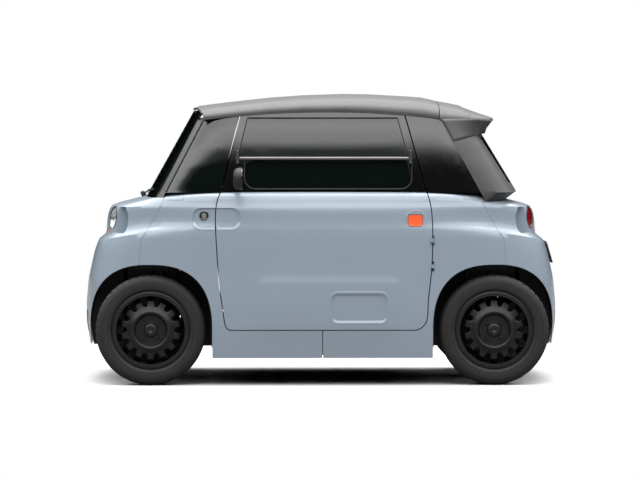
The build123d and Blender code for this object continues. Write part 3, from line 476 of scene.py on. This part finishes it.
def mirror_glass(side, sign):
    """Round mirror on its curved arm, with a bezel and reflecting face towards the driver."""
    low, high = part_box(f"door_mirror_{side}")
    x, y, z = high.x, (low.y if sign < 0 else high.y) - sign * 0.055, (low.z + high.z) / 2
    shape = bmesh.new()
    turn_profile(shape, [(0.0, 0.0), (0.0, 0.0535), (-0.002, 0.055), (-0.014, 0.055), (-0.025, 0.052),
                         (-0.034, 0.045), (-0.0395, 0.034), (-0.0415, 0.018), (-0.042, 0.0)], 48)
    shape.transform(Matrix.Translation((x, y, z)) @ Matrix.Rotation(-math.pi / 2, 4, "Z"))
    path = [(x - 0.02, y - sign * 0.045, z - 0.01), (x - 0.021, y - sign * 0.075, z - 0.022),
            (x - 0.021, y - sign * 0.105, z - 0.036), (x - 0.021, sign * 0.622, z - 0.045)]
    for start, end, radius in zip(path, path[1:], (0.012, 0.0125, 0.014)):
        add_rod(shape, start, end, radius, 20, radius + 0.001)
        add_ball(shape, end, radius + 0.001)
    housing = new_piece(f"mirror_housing_{side}", shape, f"door_{side}", black_plastic)
    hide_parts(f"door_mirror_{side}")
    shape = bmesh.new()
    turn_profile(shape, [(0.0, 0.0555), (0.004, 0.0545), (0.0052, 0.051), (0.003, 0.0475), (0.0, 0.047)], 48)
    place = Matrix.Translation((x, y, z)) @ Matrix.Rotation(-math.pi / 2, 4, "Z")
    shape.transform(place)
    bezel = new_piece(f"mirror_bezel_{side}", shape, f"door_{side}", gloss_black)
    shape = bmesh.new()
    turn_profile(shape, [(0.0008, 0.0475), (0.0016, 0.03), (0.002, 0.012), (0.0021, 0.002)], 48)
    bmesh.ops.holes_fill(shape, edges=shape.edges, sides=0)
    shape.transform(place)
    glass = new_piece(f"mirror_face_{side}", shape, f"door_{side}", mirror_silver)


bar_metal = moulded("bar_metal", (0.19, 0.175, 0.17), 0.38, grain=600, metal=0.5)
latch_grey = moulded("latch_grey", (0.035, 0.035, 0.037), 0.4, grain=900)
mirror_silver = moulded("mirror_silver", (0.8, 0.82, 0.84), 0.04, grain=40, depth=0.00001, strength=0.02, metal=1.0)
for side, sign in (("left", -1), ("right", 1)):
    door_fittings(side, sign)
    mirror_glass(side, sign)

# Details on the body, placed on the skins where they lie in the side view


def skin_tree(names):
    shape = bmesh.new()
    for name in names:
        shape.from_mesh(skins[name].data)
    tree = BVHTree.FromBMesh(shape)
    shape.free()
    return tree


body_tree = skin_tree(["front_clip", "rear_clip", "side_panel_front_left", "side_panel_rear_left", "door_left"])
tail_tree = skin_tree(["spoiler", "tail_panel"])


def reach(tree, x, z):
    """How far out the skin is at a place in the left side view, or None beside it."""
    hit = tree.ray_cast(Vector((x, -2, z)), Vector((0, 1, 0)))[0]
    return None if hit is None else -hit.y


def on_skin(x, z, sign, proud=0.0):
    """A point on the lower body's left side, gaps bridged and kept on its edges, or turned to the right."""
    near = [0.6]
    for shift in sorted((0.002 * i for i in range(-20, 21)), key=abs):
        found = [reach(body_tree, x + step, z + shift) for step in (-0.008, 0.008)]
        found = [out for out in found if out is not None and out > 0.3]
        if found:
            near, z = found, z + shift
            break
    out = sum(near) / len(near) + proud
    return Vector((-sign * x, sign * out, z))


def bead(name, rings, heights, body, sign, material, closed=True):
    """A soft moulding: rings of side view points, each at a height from the skin along the first ring."""
    base = [-on_skin(x, z, -1).y for x, z in rings[0]]
    rows = []
    for ring, height in zip(rings, heights):
        rows.append([(-sign * x, sign * (out + height), z) for (x, z), out in zip(ring, base)])
    shape = bmesh.new()
    loft(shape, rows, closed)
    piece = new_piece(name, shape, body, material, 60)
    return piece


CLIP_SEAM = [(-0.797, 0.941), (-0.853, 0.822), (-0.912, 0.738), (-0.924, 0.617), (-0.924, 0.578)]


def dish_edge(start, end, low, high, radius, grow):
    """Open outline of one end of the handle dish, from above to below."""
    way = math.copysign(1, end - start)
    middle = end - way * radius
    points = [(start + (middle - start) * i / 4, high + grow) for i in range(4)]
    for i in range(17):
        angle = math.radians(90 - 180 * i / 16)
        rise = (high - low) / 2 - radius if i < 8 else radius - (high - low) / 2
        rise = 0 if i == 8 else rise
        points.append((middle + way * (radius + grow) * math.cos(angle),
                       (high + low) / 2 + rise + (radius + grow) * math.sin(angle)))
    return points + [(middle + (start - middle) * i / 4, low - grow) for i in range(1, 5)]


def body_details(side, sign):
    """Seams, covers, locks, dish and pocket edges of one side."""
    other = body_name(f"side_panel_front_{side}")
    for end, way in (("near", 1), ("far", -1)):
        points = []
        for (xa, za), (xb, zb) in zip(CLIP_SEAM, CLIP_SEAM[1:]):
            points += [(xa + (xb - xa) * i / 6, za + (zb - za) * i / 6) for i in range(6)]
        seam = tube(f"clip_seam_{end}_{side}", [on_skin(way * x, z, sign, -0.0026) for x, z in points], 0.0026, other,
                    body_paint)
        corners = [(-0.778, 0.931), (-0.7, 0.931), (-0.7, 0.957)] if way > 0 else [(-0.713, 0.957), (-0.713, 0.936),
                                                                                   (-0.755, 0.936), (-0.76, 0.929),
                                                                                   (-0.792, 0.929)]
        cover = []
        for (xa, za), (xb, zb) in zip(corners, corners[1:]):
            cover += [on_skin(way * (xa + (xb - xa) * i / 5), za + (zb - za) * i / 5, sign) for i in range(6)]
        # The cover's outline is a thin line in a darkened body colour: painted shade of the gap round the cover
        line = tube(f"cover_line_{end}_{side}", cover, 0.0009, other, gap_shade_grey)
    for name, start, end, body in (("fender", -0.5415, -0.653, other), ("door", -0.5295, -0.411, f"door_{side}")):
        grows = (0.012, 0.007, 0.003, -0.001, -0.005, -0.009, -0.013)
        rings = [dish_edge(start, end, 0.786, 0.892, 0.045, grow) for grow in grows]
        bead(f"dish_edge_{name}_{side}", rings, (-0.0006, 0.0001, 0.0004, -0.0008, -0.0034, -0.0054, -0.0062), body,
             sign, body_paint, closed=False)
    rings = [rounded_outline(0.042 - g, 0.325 + g, 0.317 - g, 0.463 + g, 0.034 + g)
             for g in (0.014, 0.009, 0.004, 0, -0.004, -0.009, -0.014, -0.019)]
    bead(f"pocket_edge_{side}", rings, (-0.0005, 0.001, 0.0018, 0.0012, -0.0012, -0.0045, -0.006, -0.0064),
         f"door_{side}", sign, body_paint)
    rings = [rounded_outline(0.075 - g, 0.275 + g, 0.335 - g, 0.43 + g, 0.022 + g) for g in (0.004, 0, -0.004)]
    bead(f"pocket_line_{side}", rings, (-0.0064, -0.0046, -0.0064), f"door_{side}", sign, body_paint)
    rings = []
    for radius in (0.056, 0.053, 0.0505, 0.048, 0.045):
        rings.append([(0.4675 + radius * math.cos(math.radians(20 + 140 * i / 24)),
                       0.828 + radius * math.sin(math.radians(20 + 140 * i / 24))) for i in range(25)])
    bead(f"marker_lip_{side}", rings, (-0.0006, 0.0012, 0.0018, 0.0012, -0.0006), f"door_{side}", sign, body_paint,
         closed=False)
    floor = reach(body_tree, -0.595, 0.854)
    place = Matrix.Translation((sign * 0.595, sign * floor, 0.854)) @ Matrix.Rotation(0 if sign < 0 else math.pi, 4, "Z")
    shape = bmesh.new()
    turn_profile(shape, [(0.001, 0.0235), (-0.004, 0.0235), (-0.0055, 0.022), (-0.0055, 0.019), (-0.003, 0.0165),
                         (-0.002, 0.0135), (0.001, 0.013)], 40)
    shape.transform(place)
    ring = new_piece(f"lock_ring_{side}", shape, other, gloss_black)
    shape = bmesh.new()
    turn_profile(shape, [(0.001, 0.0125), (-0.004, 0.0122), (-0.0055, 0.011), (-0.006, 0.007), (-0.0061, 0.0002)], 32)
    shape.transform(place)
    barrel = new_piece(f"lock_barrel_{side}", shape, other, lock_metal)
    return ring


# Darkened copy of the body colour, used as painted shade in the cover's gap
gap_shade_grey = moulded("gap_shade_grey", (0.11, 0.13, 0.15), 0.5)
lock_metal = moulded("lock_metal", (0.3, 0.33, 0.27), 0.35, grain=600, metal=0.4)
rings = [body_details(side, sign) for side, sign in (("left", -1), ("right", 1))]
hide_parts("lock_buttons")


def spoiler_fin(side, sign):
    """Side of the spoiler, drawn down into the tail panel."""
    shape = bmesh.new()
    rows = []
    for i in range(9):
        down = i / 8
        z_front = 1.338 - 0.113 * down
        x_front = max(0.6, 0.601 + (1.334 - z_front) * 0.5464)
        x_rear = 0.866 - 0.037 * down - 0.006 * math.sin(math.pi * down)
        z_rear = 1.342 - 0.076 * down
        row = []
        for j in range(15):
            along = j / 14
            x, z = x_front + (x_rear - x_front) * along, z_front + (z_rear - z_front) * along
            x_top, x_low = 0.6 + 0.266 * along, 0.66 + 0.169 * along
            top = reach(tail_tree, x_top, 1.337)
            low = reach(tail_tree, x_low, 1.225 + 0.041 * along)
            top = 0.468 if top is None else max(top, 0.468)
            low = 0.432 if low is None else max(low, 0.432)
            here = reach(tail_tree, x, z)
            out = top + (low - top) * down + 0.001
            if here is not None and here + 0.001 > out:
                out = here + 0.001
            row.append((x, sign * out, z))
        rows.append(row)
    loft(shape, rows)
    fin = new_piece(f"spoiler_fin_{side}", shape, body_name("spoiler"), roof_grey, 60)
    wall = fin.modifiers.new("wall", "SOLIDIFY")
    wall.thickness = 0.004
    wall.offset = -1


def roof_seals():
    """Black seals along the roof's sides, over the windscreen and beside the quarter glass."""
    body = body_name("roof")
    for side, sign in (("left", -1), ("right", 1)):
        points = []
        for i in range(41):
            x = -0.605 + 1.2 * i / 40
            z = 1.3735 - 0.105 * (x - 0.02) ** 2
            points.append((x, sign * (cabin_half(z) + 0.0005), z))
        tube(f"roof_seal_{side}", points, 0.0024, body, black_plastic)
        points = [(-0.787 + 0.5177 * t, sign * (reach(pillar_tree, -0.787 + 0.5177 * t + 0.004, 0.972 + t) + 0.0004),
                   0.972 + t) for t in [0.36 * i / 16 for i in range(17)]]
        tube(f"pillar_seal_{side}", points, 0.0024, body, black_plastic)
    points = []
    for i in range(25):
        y = -0.53 + 1.06 * i / 24
        x = -0.602 - 0.05 * (1 - (y / 0.545) ** 2)
        hit = roof_tree.ray_cast(Vector((x + 0.006, y, 2)), Vector((0, 0, -1)))[0]
        points.append((x, y, hit.z - 0.006))
    tube("screen_seal", points, 0.006, body, black_plastic)


pillar_tree = skin_tree(["front_pillars", "quarter_glass"])
roof_tree = skin_tree(["roof"])
roof_seals()
for side, sign in (("left", -1), ("right", 1)):
    spoiler_fin(side, sign)

# Lamps, wiper, grilles and plate frame


def end_tree(node):
    """Search tree of a node's own surface."""
    shape = bmesh.new()
    shape.from_mesh(nodes[node].data)
    tree = BVHTree.FromBMesh(shape)
    shape.free()
    return tree


def on_end(tree, way, y, z, proud=0.0):
    """A point on the surface at the front (way -1) or rear (way 1) of what a tree holds."""
    hit = tree.ray_cast(Vector((way * 3, y, z)), Vector((-way, 0, 0)))[0]
    return Vector((way * (abs(hit.x) + proud), y, z))


LAMP_Y = 0.396
LAMP_Z = 0.836
LAMP_RADIUS = 0.055

# Each profile is a list of a ring's radius and how far it stands out of the lens, in metres
BEZEL_PROFILE = [(0.0615, -0.004), (0.0605, 0.0012), (0.058, 0.0022), (0.0555, 0.0016), (0.0545, -0.001),
                 (0.054, -0.006)]
BOWL_PROFILE = [(0.0535, -0.004), (0.0525, -0.012), (0.047, -0.02), (0.04, -0.023), (0.038, -0.019),
                (0.034, -0.019), (0.031, -0.027), (0.024, -0.034), (0.02, -0.028), (0.014, -0.024),
                (0.007, -0.0225), (0.001, -0.022)]
LENS_PROFILE = [(0.054, -0.003), (0.0535, -0.0008), (0.045, 0.0), (0.03, 0.0002), (0.015, 0.0003),
                (0.001, 0.0004)]


def lamp_ring(tree, way, side, radius, proud, steps=40):
    """Ring of points about a lamp's axis, set from the lens surface."""
    points = []
    for i in range(steps):
        angle = math.tau * i / steps
        y = side * LAMP_Y + radius * math.cos(angle)
        z = LAMP_Z + radius * math.sin(angle)
        inside = min(radius, LAMP_RADIUS - 0.002) / radius
        on_lens_y = side * LAMP_Y + (y - side * LAMP_Y) * inside
        on_lens_z = LAMP_Z + (z - LAMP_Z) * inside
        place = on_end(tree, way, on_lens_y, on_lens_z, proud)
        points.append((place.x, y, z))
    return points


def lamp_piece(name, tree, way, side, profile, body, material, smooth):
    """One turned piece of a lamp."""
    shape = bmesh.new()
    rings = [lamp_ring(tree, way, side, radius, proud) for radius, proud in profile]
    loft(shape, rings, closed=True)
    return new_piece(name, shape, body, material, smooth)


def lamp(node, way, lens_finish, bowl_finish, slot):
    """Bezel, bowl and lens of a pair of lamps."""
    tree = end_tree(node)
    body = body_name(node)
    for side, label in ((-1, "left"), (1, "right")):
        bezel = lamp_piece(f"{node}_bezel_{label}", tree, way, side, BEZEL_PROFILE, body, black_plastic, 50)
        bowl = lamp_piece(f"{node}_bowl_{label}", tree, way, side, BOWL_PROFILE, body, bowl_finish, 30)
        lens = lamp_piece(f"{node}_lens_{label}", tree, way, side, LENS_PROFILE, body, lens_finish, 60)
    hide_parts(node)


def spread_points(start, end, steps):
    """Pairs of y and z, evenly spaced from start to end."""
    return [tuple(a + (b - a) * i / steps for a, b in zip(start, end)) for i in range(steps + 1)]


WIPER_FOOT = (-0.912, 0.06, 0.935)
WIPER_TOP = (-0.923, 0.06, 0.952)
WIPER_RADIUS = 0.0115
# Name, start and end as y and z, radius, and how far it lies off the glass
WIPER_RODS = [("arm", (0.055, 0.958), (-0.2, 0.974), 0.0045, 0.008),
              ("blade", (0.03, 0.966), (-0.42, 0.984), 0.004, 0.004)]


def wiper():
    """Knob at the foot of the windscreen, with the arm and blade lying on the glass."""
    body = body_name("wiper")
    tree = skin_tree(["windscreen"])
    shape = bmesh.new()
    add_rod(shape, WIPER_FOOT, WIPER_TOP, 0.0135, 24, WIPER_RADIUS)
    add_ball(shape, WIPER_TOP, WIPER_RADIUS)
    knob = new_piece("wiper_knob", shape, body, black_plastic)
    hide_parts("wiper")
    for name, start, end, radius, lift in WIPER_RODS:
        points = [on_end(tree, -1, y, z, lift) for y, z in spread_points(start, end, 16)]
        if name == "arm":
            points[0] = Vector((-0.923, 0.06, 0.953))
        tube(f"wiper_{name}", points, radius, body, black_plastic)


GRILLE_LOW = 0.256
GRILLE_HEIGHT = 0.108
SLAT_RADIUS = 0.0045
SLAT_PITCH = 0.027


def grille(way, label, node):
    """Dark intake with slats low in the bumper."""
    tree = skin_tree([node])
    body = body_name(node)
    shape = bmesh.new()
    rows = []
    for i in range(7):
        z = GRILLE_LOW + GRILLE_HEIGHT * i / 6
        half = 0.34 + 0.03 * i / 6
        rows.append([on_end(tree, way, half * (j / 16 - 1), z, 0.0006) for j in range(33)])
    loft(shape, rows)
    panel = new_piece(f"grille_panel_{label}", shape, body, black_plastic, 60)
    for i in range(4):
        z = 0.27 + SLAT_PITCH * i
        half = 0.33 + 0.008 * i
        points = [on_end(tree, way, half * (j / 16 - 1), z, -0.0036) for j in range(33)]
        tube(f"grille_slat_{label}_{i}", points, SLAT_RADIUS, body, latch_grey)


def plate_frame():
    """Raised edge round the blank plate."""
    tree = end_tree("rear_plate")
    corners = [(-0.258, 0.602), (0.258, 0.602), (0.258, 0.706), (-0.258, 0.706)]
    points = []
    for start, end in zip(corners, corners[1:] + corners[:1]):
        points += [on_end(tree, 1, y, z, -0.0012) for y, z in spread_points(start, end, 10)[:-1]]
    frame_edge = tube("plate_frame", points, 0.0035, body_name("rear_plate"), black_plastic, closed=True)


red_lens = clear("red_lens", (0.35, 0.01, 0.012), 0.06, 0.75)
reflector = moulded("reflector", (0.75, 0.77, 0.8), 0.12, grain=120, metal=1.0)
lamp("headlamps", -1, lamp_clear, reflector, "lamp_clear")
lamp("tail_lamps", 1, red_lens, lamp_red, "lamp_red")
wiper()
for way, label, node in ((-1, "front", "front_clip"), (1, "rear", "rear_clip")):
    grille(way, label, node)
plate_frame()

# Seats

PAD_CAP = 0.012
PAD_SHRINK = 0.965
PAD_VOXEL = 0.007
CHANNELS = 3
SEWN_DEPTH = 0.006
SEAM_PLACE = 0.72


def pad_order(part):
    """Middle of a solid as y, z and x, rounded, so that the solids sort the same every time."""
    return tuple(round(sum(vert.co[i] for vert in part.verts) / len(part.verts), 3) for i in (1, 2, 0))


def pad_solids(node):
    """The separate solids of a node, each a merged bmesh."""
    whole = bmesh.new()
    whole.from_mesh(nodes[node].data)
    bmesh.ops.remove_doubles(whole, verts=whole.verts, dist=0.00002)
    left = set(whole.verts)
    solids = []
    while left:
        stack, found = [left.pop()], set()
        while stack:
            vert = stack.pop()
            found.add(vert)
            for edge in vert.link_edges:
                other = edge.other_vert(vert)
                if other in left:
                    left.discard(other)
                    stack.append(other)
        keys = {tuple(vert.co) for vert in found}
        part = whole.copy()
        others = [vert for vert in part.verts if tuple(vert.co) not in keys]
        bmesh.ops.delete(part, geom=others, context="VERTS")
        solids.append(part)
    whole.free()
    return sorted(solids, key=pad_order)


def evaluated(piece):
    """The piece's mesh with its modifiers applied."""
    return bpy.data.meshes.new_from_object(piece.evaluated_get(bpy.context.evaluated_depsgraph_get()))


def cushion(name, part, body):
    """A padded seat piece: remeshed, blown up a little as cloth, then pulled in along its sewn channels."""
    low = Vector([min(vert.co[i] for vert in part.verts) for i in range(3)])
    high = Vector([max(vert.co[i] for vert in part.verts) for i in range(3)])
    middle, size = (low + high) / 2, high - low
    for vert in part.verts:
        vert.co = middle + (vert.co - middle) * PAD_SHRINK
    mesh = bpy.data.meshes.new(name)
    part.to_mesh(mesh)
    part.free()
    pad = bpy.data.objects.new(name, mesh)
    scene.collection.objects.link(pad)
    voxels = pad.modifiers.new("voxels", "REMESH")
    voxels.mode = "VOXEL"
    voxels.voxel_size = PAD_VOXEL
    start = evaluated(pad)
    pad.modifiers.clear()
    pad.data = start
    before = [vert.co.copy() for vert in start.vertices]
    cloth = pad.modifiers.new("cloth", "CLOTH")
    cloth.settings.use_pressure = True
    cloth.settings.uniform_pressure_force = 4
    cloth.settings.effector_weights.gravity = 0
    for step in range(1, 21):
        scene.frame_set(step)
    blown = evaluated(pad)
    pad.modifiers.clear()
    scene.frame_set(1)
    for vert, place, goal in zip(start.vertices, before, blown.vertices):
        move = goal.co - place
        vert.co = place + move * min(1.0, PAD_CAP / max(move.length, 1e-6))
    upright = size.z > size.x
    along = 2 if upright else 0
    for vert in start.vertices:
        share = (vert.co[along] - low[along]) / size[along]
        across = abs(vert.co.y - middle.y) / (size.y / 2)
        offsets = [(share - (i + 1) / (CHANNELS + 1)) * size[along] for i in range(CHANNELS)]
        groove = max(math.exp(-(offset / 0.007) ** 2) for offset in offsets)
        side_seam = math.exp(-((across - SEAM_PLACE) * size.y / 2 / 0.006) ** 2)
        pull = SEWN_DEPTH * max(groove * (across < SEAM_PLACE), side_seam)
        vert.co += vert.normal * -pull
        for i in range(3):
            vert.co[i] = min(max(vert.co[i], low[i]), high[i])
    start.shade_smooth()
    start.materials.clear()
    start.materials.append(seat_fabric)
    surface = pad.modifiers.new("surface", "SUBSURF")
    surface.levels = surface.render_levels = 1
    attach(pad, body)
    return pad


pad_body = body_name("seat_pads")
pads = [cushion(f"seat_pad_{i}", part, pad_body) for i, part in enumerate(pad_solids("seat_pads"))]
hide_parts("seat_pads")

# Floor, lights and camera


def light_floor():
    """Floor that takes the object's shadow near it and is white far away."""
    shape = bmesh.new()
    bmesh.ops.create_grid(shape, x_segments=1, y_segments=1, size=60)
    mesh = bpy.data.meshes.new("floor")
    shape.to_mesh(mesh)
    shape.free()
    floor = bpy.data.objects.new("floor", mesh)
    scene.collection.objects.link(floor)
    material = bpy.data.materials.new("floor_white")
    material.use_nodes = True
    tree = material.node_tree
    tree.nodes.clear()
    make = tree.nodes.new
    seen, other = make("ShaderNodeBsdfDiffuse"), make("ShaderNodeBsdfDiffuse")
    seen.inputs["Color"].default_value = (0.68, 0.68, 0.68, 1)
    other.inputs["Color"].default_value = (0.17, 0.17, 0.17, 1)
    white = make("ShaderNodeEmission")
    distance = make("ShaderNodeVectorMath")
    distance.operation = "LENGTH"
    tree.links.new(make("ShaderNodeTexCoord").outputs["Object"], distance.inputs[0])
    far = remap(tree, distance.outputs["Value"], 1.9, 3.2, 0, 1)
    near, mix = make("ShaderNodeMixShader"), make("ShaderNodeMixShader")
    tree.links.new(far, near.inputs["Fac"])
    tree.links.new(seen.outputs[0], near.inputs[1])
    tree.links.new(white.outputs[0], near.inputs[2])
    tree.links.new(make("ShaderNodeLightPath").outputs["Is Camera Ray"], mix.inputs["Fac"])
    tree.links.new(other.outputs[0], mix.inputs[1])
    tree.links.new(near.outputs[0], mix.inputs[2])
    tree.links.new(mix.outputs[0], make("ShaderNodeOutputMaterial").inputs["Surface"])
    mesh.materials.append(material)


SKY = [(0.0, 0.0), (0.33, 0.0), (0.39, 0.12), (0.47, 0.8), (0.56, 1.0), (0.68, 0.75), (0.84, 0.8), (0.92, 1.0), (1.0, 1.0)]
SKY_STRENGTH = 3.3


def light_world():
    """White behind the object; for the light a soft ceiling that is dark near the horizon."""
    world = bpy.data.worlds.new("studio")
    scene.world = world
    world.use_nodes = True
    tree = world.node_tree
    tree.nodes.clear()
    make = tree.nodes.new
    split = make("ShaderNodeSeparateXYZ")
    tree.links.new(make("ShaderNodeTexCoord").outputs["Generated"], split.inputs[0])
    sky, white = make("ShaderNodeBackground"), make("ShaderNodeBackground")
    tree.links.new(ramp(tree, split.outputs["Z"], [(z, (level,) * 3) for z, level in SKY]), sky.inputs["Color"])
    sky.inputs["Strength"].default_value = SKY_STRENGTH
    white.inputs["Color"].default_value = (1, 1, 1, 1)
    path = make("ShaderNodeLightPath")
    either = make("ShaderNodeMath")
    either.operation = "MAXIMUM"
    tree.links.new(path.outputs["Is Camera Ray"], either.inputs[0])
    tree.links.new(path.outputs["Is Transmission Ray"], either.inputs[1])
    mix = make("ShaderNodeMixShader")
    tree.links.new(either.outputs[0], mix.inputs["Fac"])
    tree.links.new(sky.outputs[0], mix.inputs[1])
    tree.links.new(white.outputs[0], mix.inputs[2])
    tree.links.new(mix.outputs[0], make("ShaderNodeOutputWorld").inputs["Surface"])


def softbox(name, place, aim, size, power):
    data = bpy.data.lights.new(name, "AREA")
    data.shape = "RECTANGLE"
    data.size, data.size_y = size
    data.energy = power
    lamp = bpy.data.objects.new(name, data)
    lamp.location = place
    lamp.rotation_euler = (Vector(aim) - Vector(place)).to_track_quat("-Z", "Y").to_euler()
    scene.collection.objects.link(lamp)


light_floor()
light_world()
softbox("overhead", (0, 0, 5), (0, 0, 0), (5, 3.5), 190)

camera_data = bpy.data.cameras.new("camera")
camera_data.sensor_width = 36
camera_data.lens = 213.6
camera_data.clip_end = 200
camera = bpy.data.objects.new("camera", camera_data)
camera_place = Vector((-0.35, -19.7, 1.4))
camera.location = camera_place
camera.rotation_euler = (Vector((-0.0015, 0, 0.708)) - camera_place).to_track_quat("-Z", "Y").to_euler()
scene.collection.objects.link(camera)
scene.camera = camera
